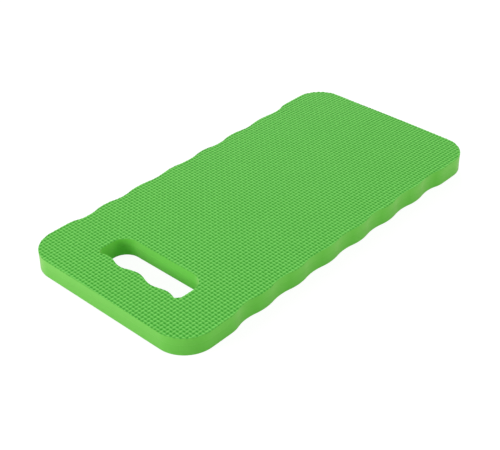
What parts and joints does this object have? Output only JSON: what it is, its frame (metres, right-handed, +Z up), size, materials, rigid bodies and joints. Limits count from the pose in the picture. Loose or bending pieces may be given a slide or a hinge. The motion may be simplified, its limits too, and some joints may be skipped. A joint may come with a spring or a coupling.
{
  "type": "kneeling pad",
  "caption": "Flat foam garden kneeling pad with round corners, wavy long edges, an embossed top face and a hand slot with finger ridges.",
  "frame": {"origin": "middle of the underside", "axes": "+X along the length away from the hand slot, +Y across the width, +Z up out of the embossed face"},
  "size_m": [0.4, 0.199, 0.018],
  "materials": {
    "base_foam": "closed-cell EVA foam, matt, fine die-cut cell grain on the walls",
    "embossed_foam": "closed-cell EVA foam, hot-embossed with a plain basket weave, satin"
  },
  "bodies": {
    "root": {"base_sheet": "base_foam", "embossed_top_sheet": "embossed_foam"}
  },
  "joints": []
}
